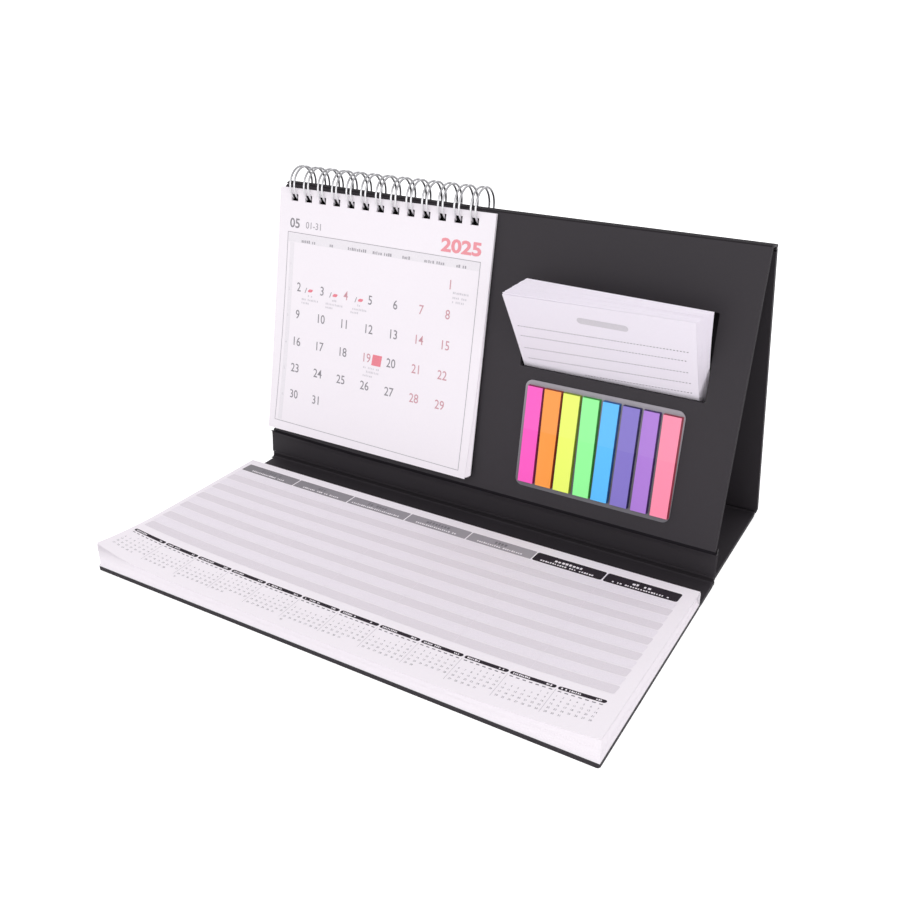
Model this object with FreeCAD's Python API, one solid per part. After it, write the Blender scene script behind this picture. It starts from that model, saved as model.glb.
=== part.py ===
import FreeCAD, Part
import math
import os

V = FreeCAD.Vector
os.makedirs("parts", exist_ok=True)

# Driving sizes, millimetres and degrees. X runs along the ridge, Y to the back, Z up.
width = 243.0
board = 2.2
cover = 2.4
corner = 1.2
gap = 0.3
touch = 0.05

# Creases: round beads of cover paper, with the boards standing off them.
bead = 1.0
web = 0.8

# Flat boards and riser, in side view.
planner_depth = 105.6
spine_depth = 18.3
riser_top = 16.3
riser_bevel = 0.45
floor_trim = 1.0

# Front panel: lean, length up the slope, and where its lower front edge lies.
front_lean = 10.81
front_length = 129.4
front_set = 3.77
front_z = 17.8
front_bevel = 0.9
edge_round = 1.2

# Ridge, measured up from the front panel's top edge and back from its face.
ridge_rise = -1.05
ridge_depth = 10.76
ridge_back = 1.28
crown_rise = 0.4
crown_depth = 6.44
ridge_thick = 1.6
back_lean = 15.065

# Heel crease, near the inner face of the back panel.
heel_axis_z = 1.6
heel_inset = 0.4
heel_reach = 2.4
heel_clear = 0.25
heel_bead = 0.95
heel_corner = 4.0

# Twin-loop wire, placed from the front panel's top edge and face.
ring_rise = 0.9
ring_set = 4.66
ring_radius = 8.6
wire = 0.5
wire_half_pitch = 1.3
wire_root = 0.4
hole_slack = 0.55
hole_count = 13
hole_pitch = 8.467
hole_margin_left = 11.1
hole_margin_right = 10.3

# Calendar leaves, hung on the wire a little off the panel.
leaf_side = 1.0
leaf_rise = -1.0
leaf_height = 123.4
leaf_splay = 0.7
backing_thick = 0.5
month_thick = 0.6
leaf_thick = 0.2

# Window and tray for the block of notes.
window_left_margin = 18.6
window_right_margin = 15.2
window_top_margin = 28.4
window_height = 37.5
window_corner = 0.8
tray_below = 6.0
tray_above = 11.0
tray_side = 0.8
tray_depth = 11.6
tray_wall = 0.6

# Block of notes, tipped forward out of the tray.
note_left_margin = 1.2
note_right_margin = 3.4
note_length = 52.0
note_hidden = 7.0
note_thick = 7.2
note_fan = 1.2
note_shift_left = 3.5
note_shift_right = 2.9
note_sheet = 0.25
note_tip = 37.8

# Film flags on their card.
card_left_margin = 21.1
card_right_margin = 20.4
card_bottom = 8.2
card_top_gap = 6.5
card_corner = 5.0
card_thick = 0.4
flag_margin = 3.35
flag_gap = 1.2
flag_end = 1.85
flag_thick = 1.7
flag_names = ("pink", "orange", "yellow", "green", "blue", "violet", "lilac", "salmon")

# Weekly pad on the planner board.
pad_backing_thick = 0.6
pad_set = 1.7
glue = 0.4
pad_side = 1.0
pad_back_z = 8.1
pad_front_z = 7.9
pad_cup = 4.3
pad_cup_back = 0.12
pad_low_x = -5.0
sheet_thick = 0.3
curl_height = 3.2
curl_across = 40.0
curl_along = 40.0
pad_columns = 24
pad_rows = 16

# Derived places in side view, with the footprint centred on Y = 0.
half = width / 2
stand = bead + gap
a = math.radians(front_lean)
b = math.radians(back_lean)
flat_axis_z = board / 2
ridge_along = front_length + ridge_rise
ridge_axis_z = front_z + ridge_along * math.cos(a) - ridge_depth * math.sin(a)
ridge_reach = ridge_along * math.sin(a) + ridge_depth * math.cos(a) - front_set
heel_reach_y = ridge_reach + ridge_back / math.cos(b) + ridge_axis_z * math.tan(b)
planner_reach = spine_depth + stand + planner_depth
foot_axis_y = (planner_reach - heel_reach_y) / 2
planner_axis_y = foot_axis_y - spine_depth
front_y = foot_axis_y - front_set
ridge_axis_y = foot_axis_y + ridge_reach
heel_y = foot_axis_y + heel_reach_y
front_edge = foot_axis_y - planner_reach
heel_axis_y = heel_y - heel_axis_z * math.tan(b) - (cover - heel_inset) / math.cos(b)
ring_along = front_length + ring_rise
ring_y = front_y + ring_along * math.sin(a) + ring_set * math.cos(a)
ring_z = front_z + ring_along * math.cos(a) - ring_set * math.sin(a)

# Derived places across the width.
leaf_left = -half + leaf_side
leaf_width = hole_margin_left + (hole_count - 1) * hole_pitch + hole_margin_right
leaf_right = leaf_left + leaf_width
hole_half = wire_half_pitch + wire + gap
window_left = leaf_right + window_left_margin
window_right = half - window_right_margin
window_top = front_length - window_top_margin
window_bottom = window_top - window_height
card_left = leaf_right + card_left_margin
card_right = half - card_right_margin
card_top = window_bottom - card_top_gap
flag_pitch = (card_right - card_left - 2 * flag_margin + flag_gap) / len(flag_names)
pad_left = -half + pad_side
pad_back = planner_axis_y - pad_set - glue
backing_top = board + pad_backing_thick


def save(name, shape):
    shape.exportStep("parts/" + name + ".step")


# Side-view outline in Y and Z, drawn out along X.
def prism(points, left, right):
    loop = [V(left, y, z) for y, z in points]
    face = Part.Face(Part.makePolygon(loop + loop[:1]))
    return face.extrude(V(right - left, 0, 0))


def box(left, right, low_y, high_y, low_z, high_z):
    return Part.makeBox(right - left, high_y - low_y, high_z - low_z, V(left, low_y, low_z))


def rod(y, z, radius, left, right):
    return Part.makeCylinder(radius, right - left, V(left, y, z), V(1, 0, 0))


def upright_edges(shape, test):
    picked = []
    for edge in shape.Edges:
        first = edge.Vertexes[0].Point
        last = edge.Vertexes[-1].Point
        if abs(first.x - last.x) < 1e-6 and abs(first.y - last.y) < 1e-6 and test(first):
            picked.append(edge)
    return picked


# From flat (X across, Y up the slope, Z out of the face) to the front panel.
def on_front(shape):
    placed = shape.copy()
    placed.rotate(V(0, 0, 0), V(1, 0, 0), 90 - front_lean)
    placed.translate(V(0, front_y, front_z))
    return placed


# From flat (X across, Y up the slope, Z inwards) to the back panel's outer face.
def on_back(shape):
    placed = shape.copy()
    placed.rotate(V(0, 0, 0), V(1, 0, 0), 90 + back_lean)
    placed.translate(V(0, heel_y, 0))
    return placed


# Side-view point as distance up the back panel and distance inside its outer face.
def back_local(y, z):
    along = -(y - heel_y) * math.sin(b) + z * math.cos(b)
    inside = -(y - heel_y) * math.cos(b) - z * math.sin(b)
    return along, inside


def planner():
    shape = box(-half, half, front_edge, planner_axis_y - stand, 0, board)
    return shape.makeFillet(corner, upright_edges(shape, lambda p: p.y < planner_axis_y - board * 5))


def spine():
    return box(-half, half, planner_axis_y + stand, foot_axis_y - stand, 0, board)


# Bead with a web that runs to the spine board on one side of it.
def flat_crease(axis_y, left, right):
    low = flat_axis_z - web / 2
    shape = rod(axis_y, flat_axis_z, bead, -half, half)
    return shape.fuse(box(-half, half, left, right, low, low + web)).removeSplitter()


def riser():
    low = flat_axis_z + stand
    front = foot_axis_y - board / 2
    back = foot_axis_y + board / 2
    outline = [(front, low + riser_bevel), (foot_axis_y, low), (back, low),
               (back, riser_top), (front, riser_top)]
    return prism(outline, -half, half)


def groove_crease():
    shape = rod(foot_axis_y, front_z, bead, -half, half)
    low = foot_axis_y - web / 2
    return shape.fuse(box(-half, half, low, low + web, riser_top, front_z)).removeSplitter()


def hole_centres():
    first = leaf_left + hole_margin_left
    return [first + i * hole_pitch for i in range(hole_count)]


def cut_holes(shape, low, high, bottom, top):
    for x in hole_centres():
        shape = shape.cut(box(x - hole_half, x + hole_half, low, high, bottom, top))
    return shape


# Where the wire circle, with its centre at the given depth, crosses a sheet below it.
def ring_drop(depth):
    return math.sqrt(ring_radius ** 2 - depth ** 2)


def front_panel():
    outline = [(0, 0), (front_length, 0), (front_length, -cover), (front_bevel, -cover)]
    shape = prism(outline, -half, half)
    top = [e for e in shape.Edges
           if e.BoundBox.YMin > front_length - touch and e.BoundBox.ZMin > -touch]
    shape = shape.makeFillet(edge_round, top)
    low = ring_along - ring_drop(ring_set - cover) - wire - hole_slack
    high = ring_along - ring_drop(ring_set) + wire + hole_slack
    shape = cut_holes(shape, low, high, -2 * cover, cover)
    window = box(window_left, window_right, window_bottom, window_top, -2 * cover, cover)
    window = window.makeFillet(window_corner, upright_edges(window, lambda p: True))
    return on_front(shape.cut(window))


def ridge_crease():
    return rod(ridge_axis_y, ridge_axis_z, bead, -half, half)


# Domed strip from the front panel's back face to the bead at the back.
def ridge_strip(crease):
    start = V(-half, front_length, -cover)
    crown = V(-half, front_length + crown_rise, -crown_depth)
    end = V(-half, ridge_along + bead, -ridge_depth)
    arch = Part.Arc(start, crown, end).toShape()
    under = Part.makePolygon([end, V(-half, ridge_along, -ridge_depth),
                              V(-half, front_length - ridge_thick, -cover), start])
    shape = Part.Face(Part.Wire([arch] + under.Edges)).extrude(V(width, 0, 0))
    return on_front(shape).cut(crease)


def back_panel():
    top = back_local(ridge_axis_y, ridge_axis_z)[0]
    low_inside = back_local(heel_axis_y, heel_axis_z)[0] + heel_reach
    outline = [(heel_clear, 0), (top - stand, 0), (top - stand, cover), (low_inside, cover)]
    shape = prism(outline, -half, half)
    for side in (-1, 1):
        end = side * (half + touch)
        trim = Part.makePolygon([V(end, -touch, 0), V(end, heel_corner, 0),
                                 V(side * (half - floor_trim), -touch, 0), V(end, -touch, 0)])
        shape = shape.cut(Part.Face(trim).extrude(V(0, 0, cover)))
    along, inside = back_local(ring_y, ring_z)
    low = along - ring_drop(inside - cover) - wire - hole_slack
    return on_back(cut_holes(shape, low, top, -cover, 2 * cover))


def heel_crease(panel):
    side = half - floor_trim
    shape = rod(heel_axis_y, heel_axis_z, heel_bead, -side, side)
    strip = box(-side, side, 0, web, 0, heel_reach)
    strip.rotate(V(0, 0, 0), V(1, 0, 0), back_lean)
    strip.translate(V(0, heel_axis_y, heel_axis_z))
    return shape.fuse(strip).cut(panel)


def floor_panel():
    side = half - floor_trim
    return box(-side, side, foot_axis_y + stand + touch, heel_axis_y - heel_bead - gap, 0, board)


def wire_binding():
    centres = hole_centres()
    root = rod(ring_y, ring_z - ring_radius, wire_root,
               centres[0] - wire_half_pitch, centres[-1] + wire_half_pitch)
    rings = []
    for x in centres:
        for side in (-wire_half_pitch, wire_half_pitch):
            rings.append(Part.makeTorus(ring_radius, wire, V(x + side, ring_y, ring_z), V(1, 0, 0)))
    return root.fuse(rings)


# Sheet with a row of holes, tilted a little about its top away from the panel.
def calendar_sheet(start, thick):
    top = front_length + leaf_rise
    shape = box(leaf_left, leaf_right, top - leaf_height, top, start, start + thick)
    face = gap + backing_thick + month_thick + touch + leaf_thick
    low = ring_along - ring_drop(ring_set) - wire - hole_slack
    high = ring_along - ring_drop(ring_set + face) + wire + hole_slack
    shape = cut_holes(shape, low, high, start - leaf_thick, start + thick + leaf_thick)
    shape.rotate(V(0, top, 0), V(1, 0, 0), -leaf_splay)
    return on_front(shape)


def tray():
    left = window_left - tray_side
    right = window_right + tray_side
    low = window_bottom - tray_below
    high = window_top + tray_above
    outer = box(left - tray_wall, right + tray_wall, low - tray_wall, high + tray_wall,
                -cover - tray_depth - tray_wall, -cover)
    inner = box(left, right, low, high, -cover - tray_depth, -cover + tray_wall)
    return on_front(outer.cut(inner))


# Wad of notes drawn flat with its front face on Z = 0, the back ones pushed to the right,
# tipped over the window's lower edge.
def note_slab(front, back_low, back_high, shift_left, shift_right):
    low = -note_hidden
    high = note_length - note_hidden
    outline = [(low, -front), (high, -front), (high, -back_high), (low, -back_low)]
    left = window_left + note_left_margin
    right = window_right - note_right_margin
    plan = [V(left, low, -front), V(right, low, -front),
            V(right + shift_right, low, -back_high), V(left + shift_left, low, -back_high)]
    shape = Part.Face(Part.makePolygon(plan + plan[:1])).extrude(V(0, note_length, 0))
    shape = shape.common(prism(outline, left, right + shift_right))
    shape.rotate(V(0, 0, 0), V(1, 0, 0), note_tip)
    shape.translate(V(0, window_bottom + gap / math.sin(math.radians(note_tip)), -cover))
    return on_front(shape)


def flag_card():
    shape = box(card_left, card_right, card_bottom, card_top, 0, card_thick)
    return on_front(shape.makeFillet(card_corner, upright_edges(shape, lambda p: True)))


def flag(index):
    left = card_left + flag_margin + index * flag_pitch
    return on_front(box(left, left + flag_pitch - flag_gap, card_bottom + flag_end, card_top - flag_end,
                        card_thick, card_thick + flag_thick))


# Top of the pressed sheets: both ends cup upwards, more so towards the front edge.
def pad_height(x, y):
    t = (pad_back - y) / (pad_back - front_edge)
    cup = pad_cup * abs((x - pad_low_x) / half) ** 3
    return pad_back_z + (pad_front_z - pad_back_z) * t + cup * (pad_cup_back + (1 - pad_cup_back) * t)


# The loose top sheet lies on the others and rises towards the front left corner.
def loose_height(x, y):
    u = max(0.0, 1 - (x - pad_left) / curl_across)
    v = max(0.0, 1 - (y - front_edge) / curl_along)
    return pad_height(x, y) + touch + curl_height * u * u * v * v


# Where the poles of a smooth strip with evenly spaced knots lie between 0 and 1.
def pole_places(count):
    spans = count - 3
    knots = [0] * 4 + list(range(1, spans)) + [spans] * 4
    return [sum(knots[i + 1:i + 4]) / (3 * spans) for i in range(count)]


def sheet_face(height):
    poles = []
    for i in pole_places(pad_columns):
        x = pad_left + (half - pad_left) * i
        ys = [front_edge + (pad_back - front_edge) * j for j in pole_places(pad_rows)]
        poles.append([V(x, y, height(x, y)) for y in ys])
    across = list(range(pad_columns - 2))
    along = list(range(pad_rows - 2))
    surface = Part.BSplineSurface()
    surface.buildFromPolesMultsKnots(poles, [4] + [1] * (pad_columns - 4) + [4],
                                     [4] + [1] * (pad_rows - 4) + [4],
                                     across, along, False, False, 3, 3)
    return surface.toShape()


def pad_sheets():
    body = sheet_face(pad_height).extrude(V(0, 0, -2 * pad_back_z))
    return body.common(box(pad_left, half, front_edge, pad_back, backing_top, 2 * pad_back_z))


save("planner_board", planner())
save("spine_board", spine())
save("riser_board", riser())
save("planner_hinge", flat_crease(planner_axis_y, planner_axis_y, planner_axis_y + stand))
save("foot_hinge", flat_crease(foot_axis_y, foot_axis_y - stand, foot_axis_y))
save("groove_hinge", groove_crease())

ridge_bead = ridge_crease()
back = back_panel()
save("front_panel", front_panel())
save("ridge_hinge", ridge_bead)
save("ridge_strip", ridge_strip(ridge_bead))
save("back_panel", back)
save("heel_hinge", heel_crease(back))
save("floor_panel", floor_panel())

month_start = gap + backing_thick
save("wire_binding", wire_binding())
save("calendar_backing", calendar_sheet(gap, backing_thick))
save("month_stack", calendar_sheet(month_start, month_thick))
save("month_leaf", calendar_sheet(month_start + month_thick + touch, leaf_thick))

save("note_pocket", tray())
save("note_front_sheet", note_slab(0, note_sheet, note_sheet, 0, 0))
save("note_block", note_slab(note_sheet, note_thick, note_thick + note_fan,
                             note_shift_left, note_shift_right))
save("flag_card", flag_card())
for index, colour in enumerate(flag_names):
    save("flag_" + colour, flag(index))

save("pad_backing", box(pad_left, half, front_edge, pad_back, board, backing_top))
save("pad_sheets", pad_sheets())
save("pad_top_sheet", sheet_face(loose_height).extrude(V(0, 0, sheet_thick)))
save("pad_binding", box(pad_left, half, pad_back, pad_back + glue, board, pad_back_z))
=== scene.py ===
import bpy
import math
import numpy as np
from mathutils import Matrix, Vector
from mathutils.geometry import tessellate_polygon


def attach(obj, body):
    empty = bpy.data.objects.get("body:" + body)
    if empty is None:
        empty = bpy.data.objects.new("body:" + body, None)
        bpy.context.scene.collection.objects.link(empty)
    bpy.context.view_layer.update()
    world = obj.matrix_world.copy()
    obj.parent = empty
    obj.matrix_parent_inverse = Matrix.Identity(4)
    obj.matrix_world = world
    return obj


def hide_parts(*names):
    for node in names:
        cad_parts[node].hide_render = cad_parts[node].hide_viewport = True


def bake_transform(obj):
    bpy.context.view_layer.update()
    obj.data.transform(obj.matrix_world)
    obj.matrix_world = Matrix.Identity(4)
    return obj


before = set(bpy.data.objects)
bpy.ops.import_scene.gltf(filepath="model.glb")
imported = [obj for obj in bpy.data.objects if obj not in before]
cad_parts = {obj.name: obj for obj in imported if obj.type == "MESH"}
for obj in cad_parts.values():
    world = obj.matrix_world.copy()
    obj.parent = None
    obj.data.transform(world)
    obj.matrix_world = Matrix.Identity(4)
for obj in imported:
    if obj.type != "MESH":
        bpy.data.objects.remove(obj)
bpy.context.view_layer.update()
print("frame loaded")
rng = np.random.default_rng(7)

# Millimetres and degrees: the folded stand, and the wire loops in it.
mm = 0.001
stand = {"half": 121.5, "cover": 2.4, "lean": 10.81, "footY": 23.640, "footZ": 17.8, "length": 129.4,
         "backLean": 15.065, "heelY": 97.790, "frontEdge": -97.790, "padBack": 7.010}
ring = {"shift": -0.4, "along": 130.3, "depth": 4.66, "radius": 8.6, "wire": 0.5, "halfPitch": 1.22,
        "count": 13, "pitch": 8.467, "firstX": -109.4, "gap": 1.15, "sway": 0.12}
lean = math.radians(stand["lean"])
backLean = math.radians(stand["backLean"])


def onFront(x, s, w):
    # x across, s up the front panel and w out of its face.
    x, s, w = np.broadcast_arrays(np.asarray(x, float), s, w)
    y = stand["footY"] + s * math.sin(lean) - w * math.cos(lean)
    z = stand["footZ"] + s * math.cos(lean) + w * math.sin(lean)
    return np.stack([x, y, z], -1)


def onBack(x, s, d):
    # x across, s up the back panel and d inside its outer face.
    x, s, d = np.broadcast_arrays(np.asarray(x, float), s, d)
    y = stand["heelY"] - s * math.sin(backLean) - d * math.cos(backLean)
    z = s * math.cos(backLean) - d * math.sin(backLean)
    return np.stack([x, y, z], -1)


ringCentre = onFront(0, ring["along"], -ring["depth"])
holeX = ring["firstX"] + ring["pitch"] * np.arange(ring["count"])
print("stand measured")


def addMesh(name, verts, faces, mats, smooth=True, faceMats=None):
    # A mesh object from points in millimetres; faceMats gives each face its place in the finishes.
    mesh = bpy.data.meshes.new(name)
    mesh.from_pydata((np.asarray(verts).reshape(-1, 3) * mm).tolist(), [], faces)
    mesh.validate()
    for mat in [mats] if isinstance(mats, bpy.types.Material) else mats:
        mesh.materials.append(mat)
    mesh.polygons.foreach_set("use_smooth", np.full(len(mesh.polygons), smooth))
    if faceMats is not None:
        mesh.polygons.foreach_set("material_index", np.asarray(faceMats, np.int32))
    mesh.update()
    obj = bpy.data.objects.new(name, mesh)
    bpy.context.scene.collection.objects.link(obj)
    return obj


def gridFaces(rows, cols, closed=False):
    # Quads between rows of points; when closed, the last column joins the first.
    i, j = np.meshgrid(np.arange(rows - 1), np.arange(cols if closed else cols - 1), indexing="ij")
    k = (j + 1) % cols
    return np.stack([i * cols + j, i * cols + k, (i + 1) * cols + k, (i + 1) * cols + j], -1).reshape(-1, 4)


def loftParts(rings):
    # Closed outlines joined in a row, with a flat cap at each end.
    rings = np.asarray(rings)
    rows, cols = rings.shape[:2]
    faces = gridFaces(rows, cols, closed=True).tolist()
    faces += [list(range(cols))[::-1], list(range((rows - 1) * cols, rows * cols))]
    return rings.reshape(-1, 3), faces


def slabParts(top, under, mask=None):
    # A sheet with two faces, open where the mask is false, closed along every edge.
    nu, nv = top.shape[:2]
    mask = np.ones((nu - 1, nv - 1), bool) if mask is None else mask
    count = nu * nv
    ids = np.arange(count).reshape(nu, nv)
    a, b, c, d = ids[:-1, :-1], ids[1:, :-1], ids[1:, 1:], ids[:-1, 1:]
    upper = np.stack([a, b, c, d], -1)[mask]
    lower = np.stack([d, c, b, a], -1)[mask] + count
    wide = np.pad(mask, 1)
    sides = []
    for beside, p, q in ((wide[1:-1, :-2], a, b), (wide[2:, 1:-1], b, c),
                         (wide[1:-1, 2:], c, d), (wide[:-2, 1:-1], d, a)):
        sides.append(np.stack([q, p, p + count, q + count], -1)[mask & ~beside])
    return np.concatenate([top.reshape(-1, 3), under.reshape(-1, 3)]), np.concatenate([upper, lower] + sides)


class Heap:
    # Gathers parts into one mesh; a part's mark is the place of its finish.
    def __init__(self):
        self.verts = []
        self.faces = []
        self.marks = []
        self.count = 0

    def add(self, verts, faces, mark=0):
        faces = faces.tolist() if isinstance(faces, np.ndarray) else faces
        self.faces += [[i + self.count for i in f] for f in faces]
        self.marks += mark if isinstance(mark, list) else [mark] * len(faces)
        self.verts.append(np.asarray(verts).reshape(-1, 3))
        self.count += len(self.verts[-1])

    def piece(self, name, mats, smooth=True):
        return addMesh(name, np.concatenate(self.verts), self.faces, mats, smooth, self.marks)


def sharpen(obj, degrees=35):
    # Smooth shading stops at edges sharper than this.
    obj.data.set_sharp_from_angle(angle=math.radians(degrees))
    return obj


def place(obj, body, slot, *nodes):
    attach(obj, body)
    if nodes:
        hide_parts(*nodes)
    return obj


class Value:
    # A socket in an expression: each operator adds a Math node.
    def __init__(self, finish, socket):
        self.finish = finish
        self.socket = socket

    def __add__(self, other):
        return self.finish.maths("ADD", self, other)

    __radd__ = __add__

    def __sub__(self, other):
        return self.finish.maths("SUBTRACT", self, other)

    def __rsub__(self, other):
        return self.finish.maths("SUBTRACT", other, self)

    def __mul__(self, other):
        return self.finish.maths("MULTIPLY", self, other)

    __rmul__ = __mul__

    def __gt__(self, other):
        return self.finish.maths("GREATER_THAN", self, other)


class Finish:
    # One material; its shader's settings are written with underscores for spaces.
    def __init__(self, name, colour, rough=0.7, metal=0.0, **settings):
        self.mat = bpy.data.materials.new(name)
        self.mat.use_nodes = True
        self.tree = self.mat.node_tree
        self.tree.nodes.clear()
        self.out = self.tree.nodes.new("ShaderNodeOutputMaterial")
        self.main = self.tree.nodes.new("ShaderNodeBsdfPrincipled")
        self.tree.links.new(self.main.outputs[0], self.out.inputs[0])
        self.main.inputs["Base Color"].default_value = (*colour, 1)
        self.main.inputs["Roughness"].default_value = rough
        self.main.inputs["Metallic"].default_value = metal
        for key, value in settings.items():
            self.main.inputs[key.replace("_", " ")].default_value = value

    def link(self, value, socket):
        if isinstance(value, Value):
            self.tree.links.new(value.socket, socket)
        else:
            socket.default_value = value

    def node(self, kind, settings=None, sockets=None, out=0):
        made = self.tree.nodes.new(kind)
        for key, value in (settings or {}).items():
            setattr(made, key, value)
        for key, value in (sockets or {}).items():
            self.link(value, made.inputs[key])
        return Value(self, made.outputs[out])

    def maths(self, kind, first, second):
        return self.node("ShaderNodeMath", {"operation": kind}, {0: first, 1: second})

    def clamp(self, value):
        return self.node("ShaderNodeClamp", {}, {0: value})

    def where(self):
        return self.node("ShaderNodeTexCoord", out="Object")

    def split(self, axis):
        # Object coordinate x, y or z.
        return self.node("ShaderNodeSeparateXYZ", {}, {0: self.where()}, out=axis)

    def noise(self, scale, detail=2.0, stretch=None):
        spot = self.where()
        if stretch:
            spot = self.node("ShaderNodeMapping", {}, {"Vector": spot, "Scale": stretch})
        return self.node("ShaderNodeTexNoise", {}, {"Vector": spot, "Scale": scale, "Detail": detail})

    def mix(self, amount, first, second):
        made = self.tree.nodes.new("ShaderNodeMix")
        made.data_type = "RGBA"
        self.link(amount, made.inputs[0])
        for value, socket in ((first, made.inputs[6]), (second, made.inputs[7])):
            self.link((*value, 1) if isinstance(value, tuple) else value, socket)
        return Value(self, made.outputs[2])

    def bump(self, height, strength, distance):
        self.link(self.node("ShaderNodeBump", {}, {"Height": height, "Strength": strength,
                                                   "Distance": distance}), self.main.inputs["Normal"])

    def base(self, value):
        self.link(value, self.main.inputs["Base Color"])

    def glow(self, colour, strength):
        self.main.inputs["Emission Color"].default_value = (*colour, 1)
        self.link(strength, self.main.inputs["Emission Strength"])


def tint(colour, amount):
    return tuple(min(1.0, c * amount) for c in colour)


def paperFinish(name, colour):
    # Uncoated paper: faint fibres in colour and relief.
    f = Finish(name, colour, 0.85, Specular_IOR_Level=0.25)
    fibres = f.noise(900.0, 4.0)
    cloud = f.noise(14.0, 2.0)
    f.base(f.mix(fibres * 0.5 + cloud * 0.5, tint(colour, 0.97), tint(colour, 1.03)))
    f.bump(fibres, 0.12, 0.00008)
    return f.mat


def coverFinish(name, colour, rough=0.62, sheen=0.32):
    # Black covering paper: fine grain, drifting tone, uneven sheen.
    f = Finish(name, colour, rough, Specular_IOR_Level=sheen)
    grain = f.noise(1500.0, 3.0)
    drift = f.noise(9.0, 2.0)
    f.base(f.mix(grain * 0.4 + drift * 0.6, tint(colour, 0.82), tint(colour, 1.18)))
    f.link(drift * 0.12 + (rough - 0.06), f.main.inputs["Roughness"])
    f.bump(grain, 0.2, 0.00006)
    return f.mat


def inkFinish(name, colour):
    # Dry print, slightly mottled.
    f = Finish(name, colour, 0.8, Specular_IOR_Level=0.2)
    spots = f.noise(2500.0, 2.0)
    f.base(f.mix(spots, tint(colour, 0.9), tint(colour, 1.1)))
    return f.mat


# Colours of the finishes. The crease tone and the darkest tone are painted shade in creases and folds; the
# tone after them, lighter than the cover, is a painted highlight on the riser's lip.
paint = {"cover": (0.0305, 0.0262, 0.031), "crease": (0.021, 0.018, 0.021), "deepShadeTone": (0.010, 0.0085, 0.011),
         "lipHighlight": (0.046, 0.042, 0.046), "paper": (0.88, 0.838, 0.878), "note": (0.88, 0.835, 0.905),
         "card": (0.80, 0.78, 0.81), "tray": (0.020, 0.018, 0.021)}
inks = {"rowPale": (0.82, 0.775, 0.83), "rowGrey": (0.735, 0.69, 0.735), "column": (0.81, 0.76, 0.815),
        "grey": (0.40, 0.38, 0.41), "pale": (0.66, 0.63, 0.67), "band": (0.81, 0.78, 0.815),
        "ink": (0.026, 0.020, 0.027), "text": (0.20, 0.19, 0.21), "red": (0.80, 0.24, 0.29),
        "softRed": (0.62, 0.34, 0.38), "day": (0.27, 0.26, 0.28), "title": (0.82, 0.32, 0.36)}
coverMat = coverFinish("coverPaper", paint["cover"])
# Darker copy of the cover for the hinge beads: painted shade in the creases.
creaseMat = coverFinish("creasePaper", paint["crease"], 0.55)
# Finishes for the cover paper at folds and edges: the darker copies are painted shade in creases, folds and
# on side faces, and the lighter copy is a painted highlight on the riser's lip.
foldMats = {"cover": coverMat, "deepShade": coverFinish("deepShadePaper", paint["deepShadeTone"], 0.8, 0.08),
            "lipHighlight": coverFinish("lipHighlightPaper", paint["lipHighlight"]),
            "seamShade": coverFinish("seamShadePaper", paint["crease"], 0.8, 0.12),
            "edge": coverFinish("shadedEdgePaper", tint(paint["cover"], 0.85), 0.75, 0.2)}
foldPlace = {name: i for i, name in enumerate(foldMats)}
trayMat = coverFinish("trayCard", paint["tray"], 0.8)
paperMat = paperFinish("whitePaper", paint["paper"])
noteMat = paperFinish("notePaper", paint["note"])
cardMat = paperFinish("whiteCard", paint["card"])
inkMats = {name: inkFinish(name + "Print", colour) for name, colour in inks.items()}
lightInkMat = inkFinish("lightPrint", paint["paper"])
print("finishes made")


def addAimed(name, data, spot, away, roll=0.0):
    # An object in metres with its back along away, level but for the roll.
    obj = bpy.data.objects.new(name, data)
    bpy.context.scene.collection.objects.link(obj)
    side = np.cross([0, 0, 1.0], away)
    side = side / np.linalg.norm(side)
    top = np.cross(away, side)
    columns = (math.cos(roll) * side + math.sin(roll) * top, math.cos(roll) * top - math.sin(roll) * side,
               away, spot)
    obj.matrix_world = Matrix([[column[i] for column in columns] for i in range(3)] + [[0, 0, 0, 1]])
    return obj


view = {"azimuth": 31.02, "elevation": 26.77, "roll": -0.61, "place": (0.20835, -0.33804, 0.248),
        "lens": 39.68, "sensor": 36.0, "near": 0.01}
camData = bpy.data.cameras.new("camera")
camData.lens = view["lens"]
camData.sensor_width = view["sensor"]
camData.clip_start = view["near"]
az, el, roll = (math.radians(view[k]) for k in ("azimuth", "elevation", "roll"))
behind = np.array([math.sin(az) * math.cos(el), -math.cos(az) * math.cos(el), math.sin(el)])
bpy.context.scene.camera = addAimed("camera", camData, view["place"], behind, roll)


def addLamp(name, spot, target, size, power):
    # A square area light in metres, aimed at the target.
    data = bpy.data.lights.new(name, "AREA")
    data.shape = "SQUARE"
    data.size = size
    data.energy = power
    away = np.array(spot) - np.array(target)
    addAimed(name, data, spot, away / np.linalg.norm(away))


# Place, target, size and power of each lamp.
lamps = {"keyLamp": ((-0.45, -0.75, 0.95), (0, 0, 0.05), 0.7, 0.6),
         "fillLamp": ((0.95, -0.45, 0.45), (0, 0, 0.06), 0.8, 1.7),
         "frontLamp": ((0.15, -1.0, 0.16), (0, 0, 0.08), 0.5, 1.5),
         "rimLamp": ((0.2, 0.9, 0.9), (0, 0, 0.1), 0.6, 1.2)}
light = {"world": 0.93, "floor": 0.55}
for name, settings in lamps.items():
    addLamp(name, *settings)

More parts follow.
